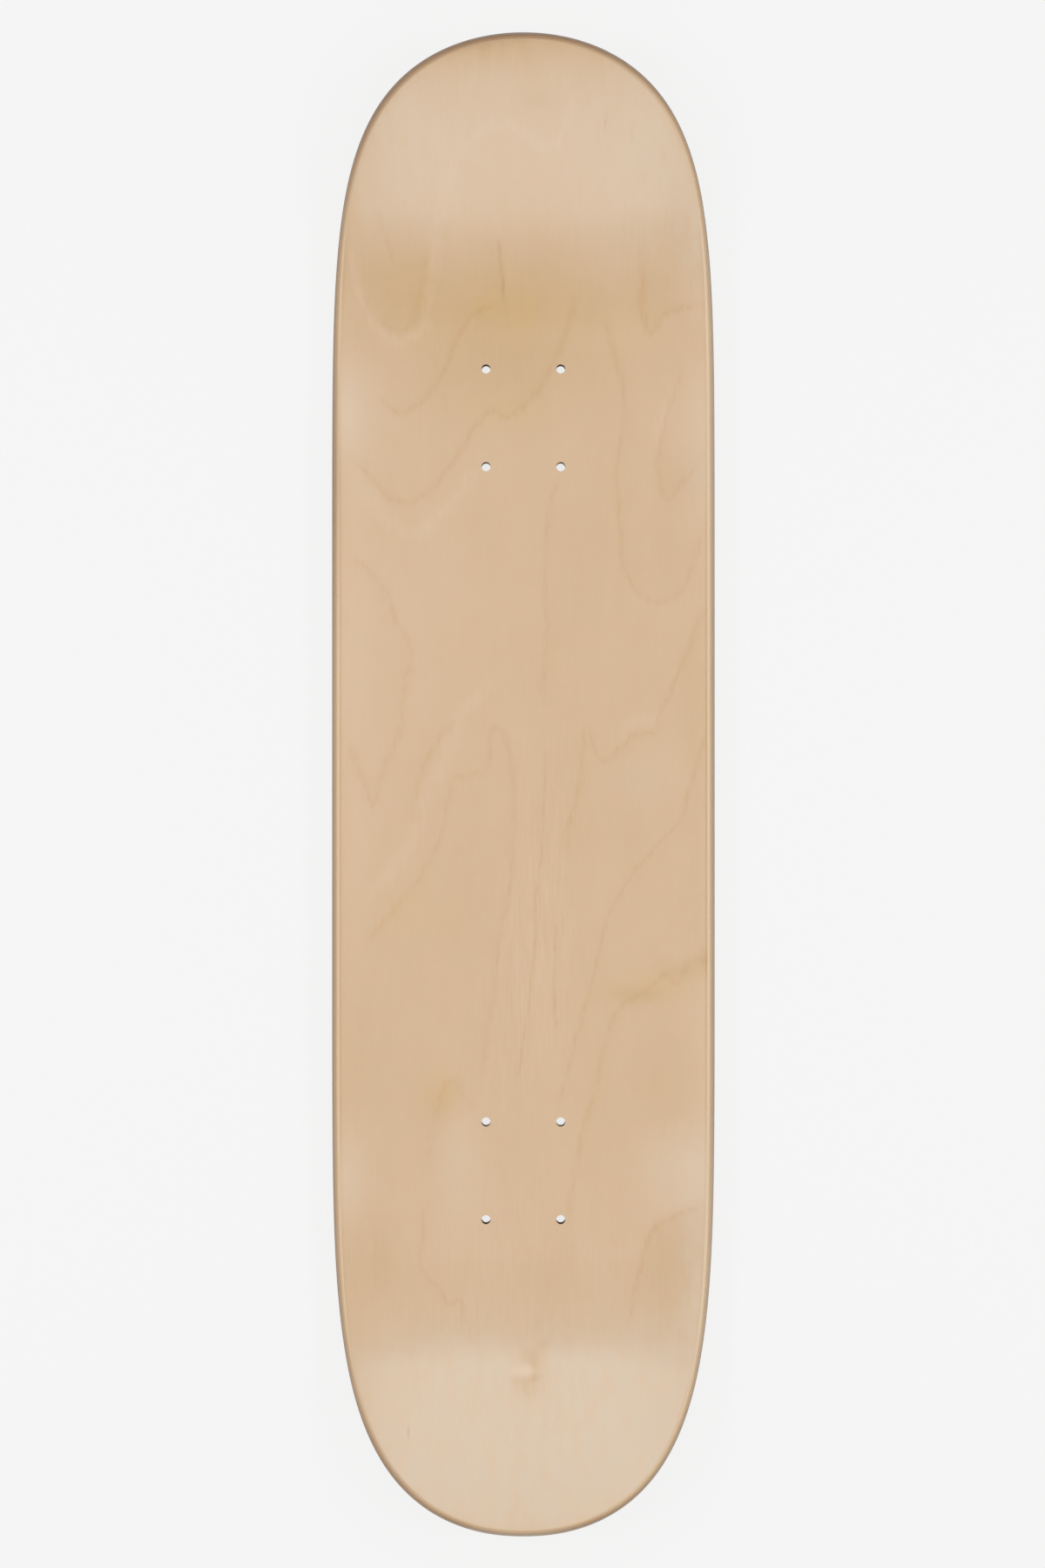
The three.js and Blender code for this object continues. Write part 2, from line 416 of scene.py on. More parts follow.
def pressed_veneer(name, node, wood, columns_above=HIDDEN_COLUMNS, columns_below=HIDDEN_COLUMNS):
    """One sheet of the stack as a plain mesh, in the place of its CAD node."""
    ply = sorted(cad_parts, key=lambda ply_node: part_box(ply_node)[0].z).index(node)
    lower = ply * (VENEER + GLUE_LINE) - HALF_STACK
    sheet = bpy.data.objects.new(name, bpy.data.meshes.new(name))
    scene.collection.objects.link(sheet)
    modifier = sheet.modifiers.new("press", "NODES")
    modifier.node_group = press
    values = {
        "Lower level": lower,
        "Upper level": lower + VENEER,
        "Columns above": columns_above,
        "Columns below": columns_below,
        "Wood": wood,
    }
    for item in press.interface.items_tree:
        if item.in_out == "INPUT" and item.name in values:
            modifier[item.identifier] = values[item.name]
    graph = bpy.context.evaluated_depsgraph_get()
    sheet.data = bpy.data.meshes.new_from_object(sheet.evaluated_get(graph))
    sheet.modifiers.remove(modifier)
    sheet.data.name = name
    sheet.data.shade_smooth()
    sheet.data.set_sharp_from_angle(angle=CREASE_ANGLE)
    mark_edge_shading(sheet)
    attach(sheet, "root")
    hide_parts(node)
    return sheet


def paint(red, green, blue):
    """A colour written as it shows on a screen, from 0 to 255."""
    light = [((part / 255 + 0.055) / 1.055) ** 2.4 for part in (red, green, blue)]
    return (*light, 1.0)


def named(tree, name, output):
    """A value that the sheet keeps with its points or faces."""
    node = tree.nodes.new("ShaderNodeAttribute")
    node.attribute_name = name
    return node.outputs[output]


def blend(tree, under, over, share):
    node = tree.nodes.new("ShaderNodeMix")
    node.data_type = "RGBA"
    for entry, value in zip((node.inputs[0], node.inputs[6], node.inputs[7]), (share, under, over)):
        plug(tree, entry, value)
    return node.outputs[2]


MAPLE = (
    # tone, and its colour
    (0.0, paint(213, 188, 160)),
    (0.33, paint(205, 176, 143)),
    (0.66, paint(193, 160, 119)),
    (1.0, paint(162, 122, 80)),
)
PLAIN_TONE = 0.33
PINK_WOOD = paint(212, 172, 144)
# painted sheen on the kicks and rails, and pale wood in a few places
SHEEN_AND_PALE_WOOD = paint(206, 185, 160)
YELLOW_WOOD = paint(207, 171, 106)
RUST = paint(192, 136, 88)
OPEN_PORE = paint(142, 104, 78)
CUT_PORE = paint(150, 116, 80)
GLUE = paint(112, 82, 54)
# paler arris: sanded wood, and on the top sheet a painted highlight
SANDED_ARRIS_AND_HIGHLIGHT = paint(213, 185, 150)
# painted shade for the low part of the sawn edge
LOW_EDGE_SHADE = paint(92, 62, 38)
# painted light that pales the sawn edge in places
PAINTED_EDGE_LIGHT = paint(226, 204, 176)
# painted shade that darkens the sawn edge in places, more so lower down
PAINTED_EDGE_SHADE = paint(124, 80, 44)
# painted shade in the bolt holes
HOLE_WALL_SHADE = paint(66, 44, 28)
VENEER_SHARE = VENEER / (VENEER + GLUE_LINE)
SATIN_ROUGHNESS = 0.26
SATIN_SHEEN = 0.64
FIBRE_DEPTH = 0.05 * MM


def grain_of(tree, fibres_along):
    """A maker of noise that lies with the fibres of the flat sheet, before it was pressed."""
    flat = named(tree, "flat", "Vector")

    def grain(across, along, detail, seed):
        """Noise from -1 to 1 whose grains are this large across and along the fibres, in mm."""
        sizes = (across, along, across) if fibres_along else (along, across, across)
        stretch = tree.nodes.new("ShaderNodeVectorMath")
        stretch.operation = "MULTIPLY"
        tree.links.new(flat, stretch.inputs[0])
        stretch.inputs[1].default_value = [1 / (size * MM) for size in sizes]
        node = tree.nodes.new("ShaderNodeTexNoise")
        node.noise_dimensions = "4D"
        node.inputs["Scale"].default_value = 1.0
        node.inputs["Detail"].default_value = detail
        node.inputs["W"].default_value = seed
        tree.links.new(stretch.outputs[0], node.inputs["Vector"])
        return Wire(tree, node.outputs["Fac"]) * 2.0 - 1.0

    return grain


def bare_face(tree, tone, pinkness, colour_layers):
    """Colour by tone: pale earlywood, plain wood, yellow-brown, dark latewood; then stains and painted
    sheen.
    """
    ramp = tree.nodes.new("ShaderNodeValToRGB")
    stops = ramp.color_ramp.elements
    for _ in range(len(MAPLE) - len(stops)):
        stops.new(0.5)
    for stop, (place, colour) in zip(stops, MAPLE):
        stop.position = place
        stop.color = colour
    plug(tree, ramp.inputs["Fac"], tone.clamped())
    face = blend(tree, ramp.outputs["Color"], PINK_WOOD, (pinkness * 0.3).clamped())
    for colour, share in colour_layers:
        face = blend(tree, face, colour, share.clamped())
    return face


def sawn_edge(tree, grain, long_edge, end_edge, fibres_along, arris):
    """The cut through the sheet: grain and glue, a paler arris, and painted shade, light and highlight."""
    facing = split(tree, tree.nodes.new("ShaderNodeNewGeometry").outputs["Normal"])
    to_rail, to_tip = (part ** 2.0 for part in facing[:2])
    fibres_cut = to_tip if fibres_along else to_rail
    end_grain = fibres_cut / (to_rail + to_tip).at_least(0.0001)
    raised = split(tree, named(tree, "flat", "Vector"))[2] + HALF_STACK
    lowness = (1.0 - raised / (2 * HALF_STACK)).clamped()
    from_foot = (raised / (VENEER + GLUE_LINE)).fraction()
    from_top = VENEER_SHARE - from_foot
    if arris == "upper":
        from_glue, from_arris = from_foot, from_top
    elif arris == "lower":
        from_glue, from_arris = from_top, from_foot
    else:
        from_glue = from_foot.at_most(from_top)
    glued = 1.0 - (from_glue * 9.0).clamped()
    edge = blend(tree, long_edge, end_edge, end_grain)
    edge = blend(tree, edge, GLUE, glued * 0.4)
    pores = grain(across=0.35, along=0.9, detail=1.0, seed=5.5)
    edge = blend(tree, edge, CUT_PORE, (pores * 0.5).clamped())
    # painted shade: the sawn edge darkens towards its foot
    edge = blend(tree, edge, LOW_EDGE_SHADE, lowness ** 1.3 * 0.5)
    if arris:
        # paler towards the arris: sanded wood, and on the top sheet a painted highlight
        edge = blend(tree, edge, SANDED_ARRIS_AND_HIGHLIGHT, (0.6 - from_arris * 2.0).clamped())
    edge_shading = Wire(tree, named(tree, "edge_shading", "Fac"))
    # painted light below zero, painted shade above it, darker lower down
    edge = blend(tree, edge, PAINTED_EDGE_LIGHT, (edge_shading * -1.0).clamped())
    edge = blend(tree, edge, PAINTED_EDGE_SHADE, (edge_shading * (0.8 + lowness * 0.6)).clamped())
    # painted shade on the walls of the bolt holes
    return blend(tree, edge, HOLE_WALL_SHADE, Wire(tree, named(tree, "drilled", "Fac")) * 0.65)


def veneer_wood(name, long_edge, end_edge, fibres_along=True, figure=None, arris=None):
    """Satin maple. A face sheet has a figure, and one arris without glue, sanded and partly painted
    highlight.
    """
    wood = bpy.data.materials.new(name)
    wood.use_nodes = True
    tree = wood.node_tree
    grain = grain_of(tree, fibres_along)
    fibres = grain(across=0.55, along=16.0, detail=2.0, seed=3.1)
    strands = grain(across=2.4, along=28.0, detail=2.0, seed=7.7)
    clouds = grain(across=24.0, along=60.0, detail=3.0, seed=11.3)
    mottle = grain(across=6.5, along=10.0, detail=2.0, seed=13.9)
    pinkness = grain(across=8.0, along=13.0, detail=2.0, seed=17.1)
    specks = grain(across=0.7, along=4.5, detail=0.0, seed=19.9)
    flecks = ((specks - 0.42).at_least(0.0) * 2.5).clamped()
    tone = PLAIN_TONE + fibres * 0.04 + strands * 0.025 + clouds * 0.08 + mottle * 0.035 + flecks * 0.07
    tone_shift, colour_layers = figure(tree, grain) if figure else (0.0, ())
    face = bare_face(tree, tone + tone_shift, pinkness, colour_layers)
    edge = sawn_edge(tree, grain, long_edge, end_edge, fibres_along, arris)
    sawn = Wire(tree, named(tree, "sawn", "Fac"))
    finish = tree.nodes["Principled BSDF"]
    tree.links.new(blend(tree, face, edge, sawn), finish.inputs["Base Color"])
    plug(tree, finish.inputs["Roughness"], SATIN_ROUGHNESS + fibres * 0.03 + sawn * 0.2)
    finish.inputs["Specular IOR Level"].default_value = SATIN_SHEEN
    relief = tree.nodes.new("ShaderNodeBump")
    relief.inputs["Strength"].default_value = 0.12
    relief.inputs["Distance"].default_value = FIBRE_DEPTH
    plug(tree, relief.inputs["Height"], fibres + strands - flecks)
    tree.links.new(relief.outputs[0], finish.inputs["Normal"])
    return wood


def level_rings(tree, grain):
    """Yearly rings as level lines of a slow wave: how yellow they are, and each stain's share."""
    ripple = grain(across=1.0, along=7.0, detail=2.0, seed=53.0)
    wave = grain(across=44.0, along=190.0, detail=1.0, seed=51.0) * 3.6 + ripple * 0.03
    year = wave.fraction()
    clearness = 0.5 + grain(across=9.0, along=30.0, detail=2.0, seed=55.0)
    late = (1.0 - year * 11.0).clamped() * clearness
    early = (1.0 - year * 2.2).clamped()
    return late * 0.12 + early * 0.06, ((RUST, late * 0.12), (OPEN_PORE, late * 0.02))


bottom_wood = veneer_wood("bottom_face_maple", paint(206, 176, 138), paint(172, 138, 102),
                          figure=level_rings, arris="lower")
bottom = pressed_veneer("bottom_face_sheet", "bottom_face_veneer", bottom_wood,
                        HIDDEN_COLUMNS, FACE_COLUMNS)

# Lower core veneer
# A sheet of plain maple with its fibres along the deck, rolled with glue on both sides. Only
# its sawn edge shows: pale long grain down the rails, darker end grain round the tips.
core_wood = veneer_wood("core_maple", paint(204, 173, 134), paint(160, 124, 86))
lower_core = pressed_veneer("lower_core_sheet", "lower_core_veneer", core_wood)

# Lower crossband
# This sheet is laid with its fibres across the deck, so that the board can't split along its
# length. At the rails it shows its darker end grain, and at the tips its long grain.
cross_wood = veneer_wood("crossband_maple", paint(198, 165, 124), paint(172, 137, 100),
                         fibres_along=False)
lower_cross = pressed_veneer("lower_crossband_sheet", "lower_crossband", cross_wood)

# Middle core veneer
# The sheet halfway up the stack, with its fibres along the deck. It carries little of the
# bending, and keeps the two crossbands apart.
middle_core = pressed_veneer("middle_core_sheet", "middle_core_veneer", core_wood)

# Upper crossband
# The second sheet laid across, the same distance above the middle as the lower one is below
# it, so that the pressed board stays flat as it dries.
upper_cross = pressed_veneer("upper_crossband_sheet", "upper_crossband", cross_wood)

# Upper core veneer
# The last sheet under the face, with its fibres along the deck. The rounded edge is cut in it
# and in the face sheet, so its rim shows from above.
upper_core = pressed_veneer("upper_core_sheet", "upper_core_veneer", core_wood)

# Top face veneer
# The clear face sheet, sanded and left bare. The knife peels it round the log, so each yearly
# ring is cut at a slant and shows as a wandering line: soft, darker on the inside of a bend.
RING_LINES = (
    # how dark, width in mm, and the places it passes in mm, nose upwards
    (0.6, 1.4, ((-81, 221), (-76, 215), (-66, 210), (-54, 219), (-44, 233), (-36, 252), (-27, 265),
                (-11, 270))),
    (0.95, 1.0, ((-10, 266), (-11, 280), (-12, 292), (-14, 308))),
    (0.6, 1.6, ((-96, 188), (-85, 175), (-74, 164), (-62, 161), (-48, 171), (-38, 185), (-25, 204),
                (-17, 212), (-9, 208), (0, 214), (10, 225), (18, 241), (24, 256), (30, 276))),
    (0.5, 1.4, ((44, 264), (51, 240), (56, 217), (54, 196), (51, 180), (53, 151), (55, 126), (58, 119),
                (66, 109), (75, 106), (87, 112), (95, 131), (99, 150))),
    (0.65, 1.7, ((65, 308), (65, 283), (66, 266), (70, 253), (76, 263), (85, 267), (100, 269))),
    (0.5, 1.7, ((88, 238), (79, 207), (74, 187), (76, 169), (80, 163), (90, 174), (101, 187))),
    (0.5, 1.5, ((21, 178), (15, 161), (11, 127), (13, 96), (11, 66), (11, 46))),
    (0.6, 1.5, ((100, 106), (98, 98), (90, 79), (87, 70), (82, 60), (77, 49), (73, 35), (61, 33),
                (53, 25), (45, 19), (39, 26), (35, 42))),
    (0.5, 1.6, ((-99, 34), (-90, 12), (-84, -5), (-80, 2), (-75, 19), (-68, 34), (-66, 58), (-62, 74),
                (-65, 89), (-70, 95), (-76, 112), (-88, 126), (-100, 132))),
    (0.45, 1.6, ((-23, -160), (-19, -130), (-16, -107), (-12, -75), (-6, -40), (-5, -4), (-6, 15),
                 (-10, 31), (-14, 37), (-18, 33), (-21, 15), (-31, 11), (-39, 7), (-44, -17),
                 (-49, -30), (-55, -42), (-61, -51), (-73, -65), (-88, -84))),
    (0.5, 1.7, ((-30, 46), (-45, 33), (-54, 18), (-60, -2), (-63, -20))),
    (0.55, 1.2, ((101, 38), (95, 15), (90, -1), (87, -13), (76, -26), (64, -39), (56, -50), (47, -66),
                 (42, -87), (36, -111), (31, -127), (25, -151), (19, -172))),
    (0.65, 0.8, ((12, 26), (12, 8), (11, -12), (10, -30), (7, -58), (6, -84), (3, -116), (0, -136),
                 (-3, -158))),
    (0.8, 0.7, ((18, -70), (17, -88), (17, -104), (18, -132))),
    (0.55, 1.4, ((34, 42), (33, 22), (31, 6), (27, -11), (24, -24), (23, -38))),
    (0.52, 1.6, ((104, -88), (100, -92), (92, -91), (85, -104), (79, -99), (68, -108), (56, -115),
                 (49, -125), (45, -139), (40, -160), (32, -190), (27, -214), (24, -240))),
    (0.4, 2.0, ((-24, -176), (-32, -168), (-39, -157), (-46, -167), (-49, -182), (-53, -210))),
    (0.55, 1.3, ((-29, -300), (-32, -290), (-35, -279), (-41, -281), (-47, -272), (-56, -262),
                 (-56, -246), (-54, -226))),
    (0.65, 1.5, ((103, -226), (98, -227), (84, -232), (71, -241), (65, -259), (61, -276), (57, -296))),
    (0.4, 1.5, ((-89, 276), (-83, 264), (-70, 256), (-60, 262), (-56, 280), (-53, 304))),
    (0.4, 1.3, ((-80, 322), (-76, 306), (-70, 290))),
    (1.3, 0.8, ((45, 376), (45, 369), (45, 361))),
    (1.0, 0.8, ((60, 368), (60, 362), (59, 354))),
    (0.9, 0.8, ((-62, -342), (-63, -349), (-62, -356))),
)
PALE_LINES = (
    # how pale, then as above
    (0.6, 3.2, ((-94, 176), (-84, 162), (-75, 152), (-65, 145), (-51, 148), (-41, 160), (-29, 175),
                (-20, 190))),
    (0.4, 2.2, ((71, 172), (73, 190), (77, 208), (86, 236))),
    (0.5, 2.6, ((78, 50), (74, 42), (61, 40), (53, 32), (44, 27))),
    (0.6, 3.2, ((-12, 68), (-31, 48), (-44, 20), (-54, 0), (-61, -26), (-74, -44), (-90, -64))),
    (0.45, 2.8, ((102, -219), (94, -221), (80, -226), (66, -236))),
    (0.65, 2.4, ((-94, 312), (-92, 279), (-82, 260), (-70, 249), (-57, 255), (-52, 272), (-49, 296),
                 (-46, 322), (-41, 336), (-36, 350), (-27, 359), (-14, 365), (-3, 363), (8, 355),
                 (19, 356), (25, 370), (32, 386))),
)
STAINS_SHADE_AND_SHEEN = (
    # place in mm, how far it spreads across and along in mm, and how dark (pale below zero).
    # Most are stains; the long strips down the rails and the dark at the nose tip are painted
    # shade, and the pale patches on the kicks and near the bolts are painted sheen
    (-103, -20, 6, 170, 0.16),
    (104, 0, 7, 190, 0.08),
    (0, 280, 95, 30, 0.06),
    (-4, 246, 40, 30, 0.16),
    (0, 240, 95, 20, 0.05),
    (-94, 291, 9, 15, 0.14),
    (-12, 268, 26, 12, 0.08),
    (-70, 274, 13, 18, 0.14),
    (90, 300, 14, 34, 0.10),
    (87, 174, 8, 11, 0.13),
    (76, 130, 14, 18, 0.06),
    (97, 55, 8, 50, 0.16),
    (97, -60, 10, 34, 0.10),
    (86, -158, 16, 22, 0.10),
    (62, -111, 12, 4, 0.15),
    (86, -97, 8, 4, 0.13),
    (101, -91, 4, 5, 0.16),
    (-90, -145, 12, 40, 0.10),
    (-45, -168, 9, 10, 0.11),
    (-76, -258, 8, 12, 0.08),
    (-90, -262, 14, 30, 0.12),
    (86, -260, 14, 22, 0.20),
    (-25, 275, 60, 18, 0.02),
    (20, -258, 10, 22, 0.06),
    (-58, 85, 32, 55, -0.06),
    (0, 356, 110, 30, -0.09),
    (76, 335, 22, 26, -0.06),
    (0, -360, 110, 34, -0.12),
    (80, -335, 20, 30, -0.08),
    (-88, -330, 12, 26, -0.05),
    (-98, 212, 9, 17, -0.28),
    (99, 214, 8, 14, -0.12),
    (-98, -212, 8, 15, -0.16),
    (99, -212, 8, 14, -0.14),
    (7, 377, 7, 4, 0.15),
    (-18, 406, 16, 7, 0.14),
    (7, -369, 12, 32, 0.12),
    (6, -86, 10, 40, -0.08),
    (0, 405, 90, 11, 0.20),
    (0, 410, 42, 5, 0.03),
    (-84, 372, 12, 14, 0.12),
    (3.6, -310, 3.4, 3.4, 0.26),
    (6.4, -315.5, 2, 3, 0.26),
    (2, -316.5, 3.6, 1.6, -0.45),
    (-4.5, -317, 4, 1.6, -0.2),
    (-2.5, -322.3, 5, 1.7, 0.26),
    (6.5, -320.6, 2.8, 1.5, 0.28),
    (10.5, -302.4, 2, 1.4, 0.14),
    (2, -327, 6, 3, 0.12),
    (-34, -205, 8, 26, -0.12),
    (88, -205, 10, 12, -0.12),
    (80, -214, 9, 16, -0.10),
)
SHEEN_AND_PALE_PATCHES = (
    # painted sheen: greyer, whiter wood on the kicks and rails, with some pale wood elsewhere; below
    # zero yellower wood; written like the stains
    (-6, 269, 19, 12, -0.2),
    (0, 268, 50, 14, -0.08),
    (62, 8, 13, 9, 0.3),
    (-63, 284, 12, 14, -0.15),
    (-10, 212, 14, 7, -0.12),
    (67, 268, 12, 16, -0.08),
    (-43, -166, 8, 9, -0.2),
    (-40, -206, 9, 22, 0.2),
    (88, -206, 12, 16, 0.25),
    (-98, -208, 8, 15, 0.2),
    (72, -105, 14, 6, -0.15),
    (-63, -66, 12, 10, -0.1),
    (-68, 352, 26, 34, 0.5),
    (70, 350, 26, 36, 0.6),
    (-62, -352, 30, 34, 0.7),
    (66, -350, 28, 38, 0.85),
    (0, -350, 30, 36, 0.65),
    (0, -385, 50, 14, 0.35),
    (0, 362, 40, 34, 0.28),
    (0, -311, 60, 8, 0.5),
    (3, -313, 8, 8, -0.7),
    (97, -270, 9, 40, 0.5),
    (97, 305, 9, 22, 0.4),
    (97, 178, 7, 14, 0.35),
    (-98, 212, 8, 16, 0.3),
)
STREAKED = (
    # where the fibres stand out as fine lines; written like the stains
    (12, -60, 14, 55, 1.0),
    (-8, -120, 12, 45, 0.6),
    (-40, -330, 30, 55, 0.45),
    (40, -330, 34, 55, 0.45),
    (0, -260, 40, 30, 0.35),
    (60, 350, 26, 40, 0.7),
    (-50, 360, 30, 30, 0.5),
)
CURVE_STEPS = 6
END_FADE_WIDTHS = 7
# the next four are in mm
RING_REACH = 9.0
RING_FADE = 4.0
RING_GAP = 3.0
RIM_FADE = 3.5
# painted shade: how much darker the face is just inside the sawn edge
RIM_SHADE = 0.06


def smooth_line(places):
    """A line through the places, which it passes without a corner (Catmull-Rom)."""
    knots = np.array(places, float)
    knots = np.vstack([2 * knots[0] - knots[1], knots, 2 * knots[-1] - knots[-2]])
    t = np.linspace(0, 1, CURVE_STEPS, endpoint=False)[:, None]
    spans = [
        b + t / 2 * (c - a + t * (2 * a - 5 * b + 4 * c - d + t * (3 * b - a - 3 * c + d)))
        for a, b, c, d in zip(knots, knots[1:], knots[2:], knots[3:])
    ]
    return np.vstack([*spans, knots[-2:-1]])


def beside(line, places):
    """How far each place is to the left of the line, and how far from the line's nearer end."""
    run = np.concatenate([[0.0], np.cumsum(np.hypot(*np.diff(line, axis=0).T))])
    gap = np.full(len(places), np.inf)
    side = np.zeros(len(places))
    passed = np.zeros(len(places))
    for start, end, begun, done in zip(line, line[1:], run, run[1:]):
        step = end - start
        share = np.clip((places - start) @ step / (step @ step), 0, 1)
        away = places - start - share[:, None] * step
        reach = np.hypot(*away.T)
        closer = reach < gap
        gap[closer] = reach[closer]
        side[closer] = np.copysign(reach, step[0] * away[:, 1] - step[1] * away[:, 0])[closer]
        passed[closer] = (begun + share * (done - begun))[closer]
    return side, np.minimum(passed, run[-1] - passed)


def nearest_line(lines, places):
    """How far the nearest line is, in its widths, how clear it is of others, and its strength."""
    nearest, second = np.full((2, len(places)), RING_REACH * 2)
    side, depth = np.zeros((2, len(places)))
    for strength, width, passes in lines:
        line = smooth_line(passes)
        low, high = line.min(0) - RING_REACH, line.max(0) + RING_REACH
        near = np.flatnonzero(((places > low) & (places < high)).all(1))
        offset, from_end = beside(line, places[near])
        gap = np.abs(offset)
        closer = gap < nearest[near]
        second[near] = np.where(closer, nearest[near], np.minimum(second[near], gap))
        won = near[closer]
        nearest[won] = gap[closer]
        side[won] = offset[closer] / width
        depth[won] = strength * np.clip(from_end[closer] / (END_FADE_WIDTHS * width), 0, 1)
    alone = np.clip((second - nearest) / RING_GAP, 0, 1)
    apart = alone * np.clip((RING_REACH - nearest) / RING_FADE, 0, 1)
    return np.stack([side * apart, apart, depth * apart], axis=1)


def spots(patches, places):
    """The sum of soft round patches at each place."""
    x, y = places.T
    return sum(strength * np.exp(-(((x - at_x) / wide) ** 2 + ((y - at_y) / long) ** 2) / 2)
               for at_x, at_y, wide, long, strength in patches)


def rim(places):
    """How close each place is to the sawn edge: 1 on it, fading over a few millimetres."""
    x, y = np.abs(places.T)
    nose = places[:, 1] > 0
    across, along, tip = (np.where(nose, PLAN["Nose " + name], PLAN["Tail " + name])
                          for name in ("roundness across", "roundness along", "tip"))
    half = PLAN["Half width"] / MM
    tip = tip / MM
    inside = 1 - (x / half) ** across - (y / tip) ** along
    steepness = np.hypot(across * (x / half) ** (across - 1) / half, along * (y / tip) ** (along - 1) / tip)
    return np.exp(-np.maximum(inside, 0) / steepness / RIM_FADE)


def draw_figure(sheet):
    """Keeps with each point of the sheet what the figure does there."""
    places = places_of(sheet)
    for name, lines in (("ring", RING_LINES), ("gleam", PALE_LINES)):
        kept = sheet.data.attributes.new(name, "FLOAT_VECTOR", "POINT")
        kept.data.foreach_set("vector", nearest_line(lines, places).ravel())
    edge_shading = np.empty(len(places))
    sheet.data.attributes["edge_shading"].data.foreach_get("value", edge_shading)
    shares = {
        # stains, painted shade and painted sheen, with painted shade just inside the edge
        "stain_shade_and_sheen": spots(STAINS_SHADE_AND_SHEEN, places) + (RIM_SHADE + np.maximum(edge_shading, 0)) * rim(places),
        "sheen_and_pale": spots(SHEEN_AND_PALE_PATCHES, places),
        "streaked": spots(STREAKED, places),
    }
    for name, values in shares.items():
        sheet.data.attributes.new(name, "FLOAT", "POINT").data.foreach_set("value", values)


def bell(offset):
    """A soft stripe: 1 on the line, and less on either side."""
    return (offset * offset * -0.6).exp()


def growth_rings(tree, grain):
    """What the figure does to the face: its tone, and each layer's share, painted shade and sheen among
    them.
    """
    shake = grain(across=0.9, along=5.0, detail=2.0, seed=23.0)
    wander = shake + grain(across=5.0, along=12.0, detail=1.0, seed=31.0) * 1.4

    def strip(name):
        side, apart, strength = split(tree, named(tree, name, "Vector"))
        return side / apart.at_least(0.02) + wander, strength

    off, dark = strip("ring")
    line = bell(off)
    inside = ((off + 0.8) * 0.6).clamped() * (off.at_least(0.0) * -0.24).exp()
    broken = (0.45 + grain(across=2.5, along=8.0, detail=2.0, seed=29.0) * 2.6).clamped()
    beyond, pale = strip("gleam")
    gleam = pale * bell(beyond) * (0.7 + grain(across=3.0, along=12.0, detail=1.0, seed=33.0))
    threads = grain(across=0.9, along=34.0, detail=1.0, seed=37.0)
    threads = threads + grain(across=2.2, along=14.0, detail=1.0, seed=39.0) * 0.7
    streaks = Wire(tree, named(tree, "streaked", "Fac")) * threads
    stain_shade_and_sheen = Wire(tree, named(tree, "stain_shade_and_sheen", "Fac"))
    tone_shift = dark * (inside * 0.055 + line * 0.085) - gleam * 0.2 + streaks * 0.16 + stain_shade_and_sheen
    rust = dark * line * line * broken * 0.24
    pores = (dark - 0.6).at_least(0.0) * line * line * broken * 0.3
    uneven = 0.97 + grain(across=7.0, along=16.0, detail=4.0, seed=41.0) * 1.2
    # patchy painted sheen: greyer, whiter wood on the kicks and rails
    sheen_and_pale_share = Wire(tree, named(tree, "sheen_and_pale", "Fac")) * uneven
    colour_layers = ((SHEEN_AND_PALE_WOOD, sheen_and_pale_share), (YELLOW_WOOD, sheen_and_pale_share * -1.0), (RUST, rust), (OPEN_PORE, pores))
    return tone_shift, colour_layers


top_wood = veneer_wood("top_face_maple", paint(204, 174, 138), paint(188, 154, 116),
                       figure=growth_rings, arris="upper")
top = pressed_veneer("top_face_sheet", "top_face_veneer", top_wood, FACE_COLUMNS, HIDDEN_COLUMNS)
draw_figure(top)

# Floor
# A sheet of pale paper, as even as in a catalogue picture, that takes the deck's soft shadow.
# It shows from above only: from below, light and eye pass through it to the underside.
FLOOR_REACH = 30
PAPER = paint(240, 240, 240)
EVEN_PAPER = paint(245, 245, 245)
EVEN_PAPER_SHARE = 0.9
floor = bpy.data.objects.new("floor", bpy.data.meshes.new("floor"))
corners = [(x * FLOOR_REACH, y * FLOOR_REACH, 0) for x, y in ((-1, -1), (1, -1), (1, 1), (-1, 1))]
floor.data.from_pydata(corners, [], [(0, 1, 2, 3)])
scene.collection.objects.link(floor)
paper = bpy.data.materials.new("paper")
paper.use_nodes = True
tree = paper.node_tree
matt = tree.nodes["Principled BSDF"]
matt.inputs["Base Color"].default_value = PAPER
matt.inputs["Roughness"].default_value = 0.9
glow = tree.nodes.new("ShaderNodeEmission")
glow.inputs["Color"].default_value = EVEN_PAPER
seen = tree.nodes.new("ShaderNodeLightPath")
even = tree.nodes.new("ShaderNodeMixShader")
plug(tree, even.inputs["Fac"], Wire(tree, seen.outputs["Is Camera Ray"]) * EVEN_PAPER_SHARE)
tree.links.new(matt.outputs[0], even.inputs[1])
tree.links.new(glow.outputs[0], even.inputs[2])
below = tree.nodes.new("ShaderNodeBsdfTransparent")
one_sided = tree.nodes.new("ShaderNodeMixShader")
tree.links.new(tree.nodes.new("ShaderNodeNewGeometry").outputs["Backfacing"], one_sided.inputs["Fac"])
tree.links.new(even.outputs[0], one_sided.inputs[1])
tree.links.new(below.outputs[0], one_sided.inputs[2])
tree.links.new(one_sided.outputs[0], tree.nodes["Material Output"].inputs["Surface"])
floor.data.materials.append(paper)
floor.visible_diffuse = False
floor.visible_shadow = False

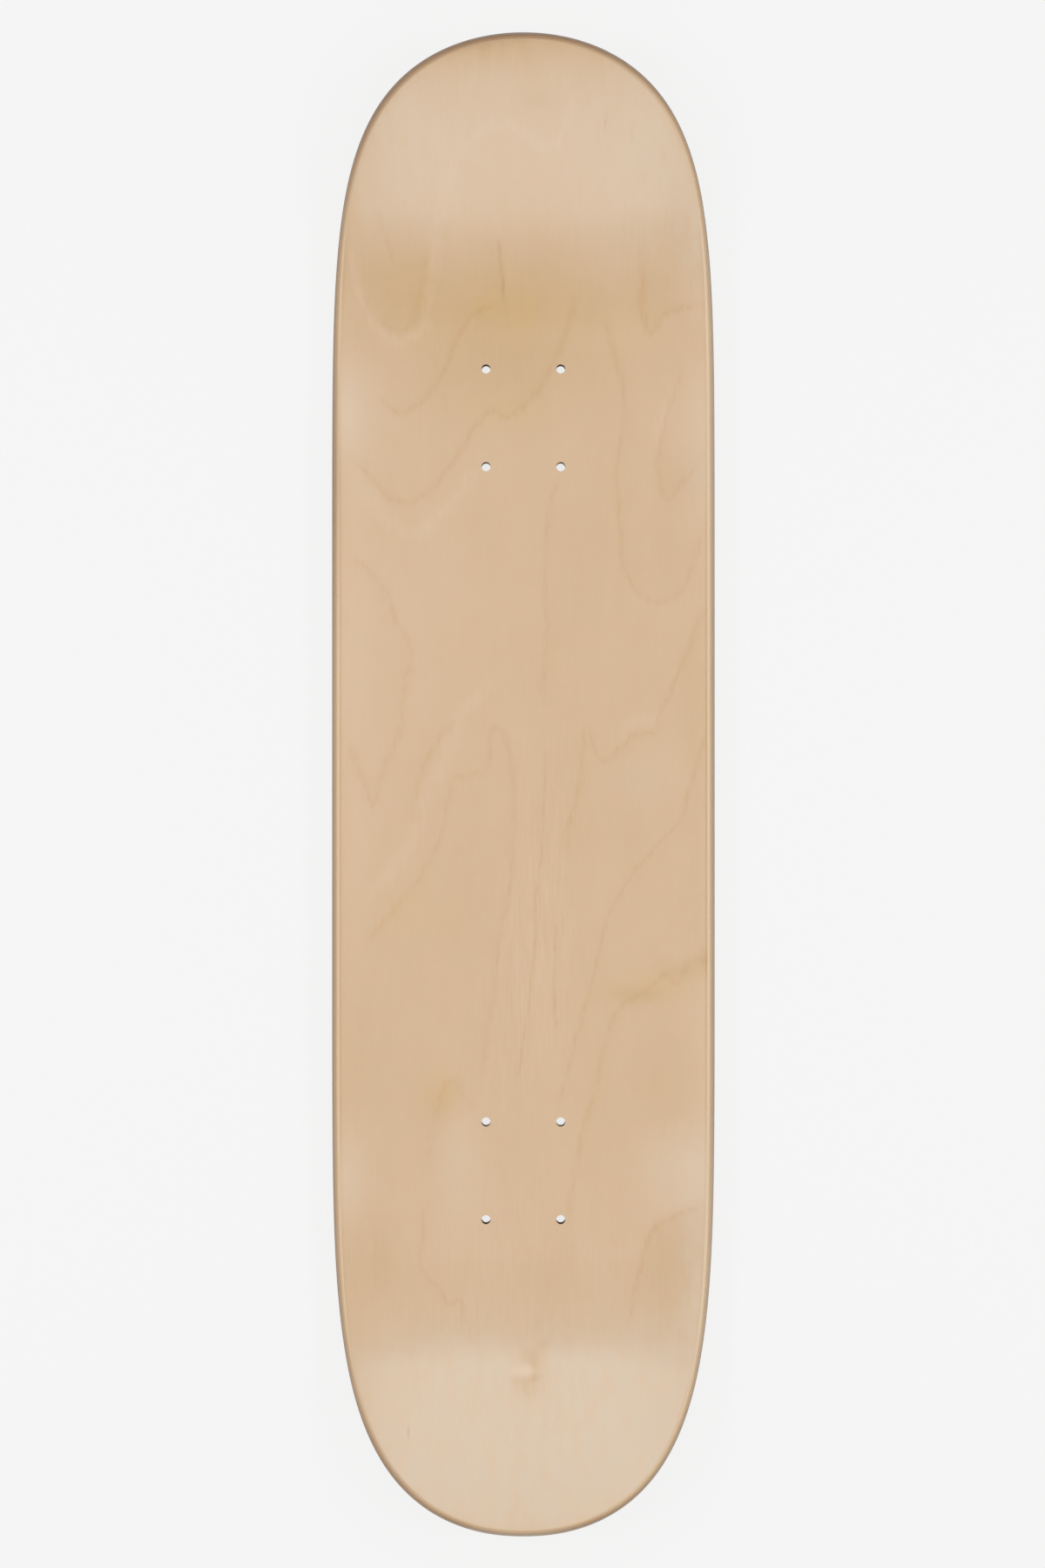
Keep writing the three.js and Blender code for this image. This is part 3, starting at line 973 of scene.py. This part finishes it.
# Lights
# A softbox beyond each tip lays a sheen on the kick at the other end. A long bank on either
# side lights the flat face and the rails, and a weak one under the paper the underside.
SOFTBOXES = {
    # place across, along and up, width and depth, all in metres, and how bright its cloth is
    "nose_softbox": (0, 0.62, 1.5, 1.0, 0.14, 5.9),
    "tail_softbox": (0, -0.75, 1.5, 1.1, 0.4, 2.15),
    "left_bank": (-1.2, 0, 1.5, 0.6, 1.0, 9.5),
    "right_bank": (1.2, 0, 1.5, 0.6, 1.0, 9.5),
    "underside_softbox": (0, 0, -1.5, 2.0, 2.4, 1.1),
}
ROOM_LIGHT = 0.36
ROOM_SEEN = 0.92
for name, (across, along, up, width, depth, brightness) in SOFTBOXES.items():
    light = bpy.data.lights.new(name, "AREA")
    light.shape = "RECTANGLE"
    light.size = width
    light.size_y = depth
    light.energy = brightness * math.pi * width * depth
    lamp = bpy.data.objects.new(name, light)
    scene.collection.objects.link(lamp)
    lamp.location = (across, along, up)
    lamp.rotation_euler = (math.pi if up < 0 else 0, 0, 0)
studio = bpy.data.worlds.new("studio")
scene.world = studio
studio.use_nodes = True
tree = studio.node_tree
seen = tree.nodes.new("ShaderNodeLightPath")
walls = tree.nodes["Background"]
walls.inputs["Color"].default_value = (1, 1, 1, 1)
brighter = Wire(tree, seen.outputs["Is Camera Ray"]) * (ROOM_SEEN - ROOM_LIGHT)
plug(tree, walls.inputs["Strength"], brighter + ROOM_LIGHT)

# Camera
# It looks straight down from 2.3 m, a little off the deck's middle, as the perspective of the
# eight holes in the photograph shows.
CAMERA_PLACE = (-0.48, 5.68, 2300)
MM_PER_PIXEL = 0.4811
PICTURE_HEIGHT = 1800
SENSOR = 36
to_face = CAMERA_PLACE[2] - 2 * HALF_STACK / MM
camera = bpy.data.objects.new("camera", bpy.data.cameras.new("camera"))
scene.collection.objects.link(camera)
camera.data.sensor_width = SENSOR
camera.data.lens = SENSOR * to_face / MM_PER_PIXEL / PICTURE_HEIGHT
camera.location = [part * MM for part in CAMERA_PLACE]
scene.camera = camera
scene.view_settings.view_transform = "Standard"
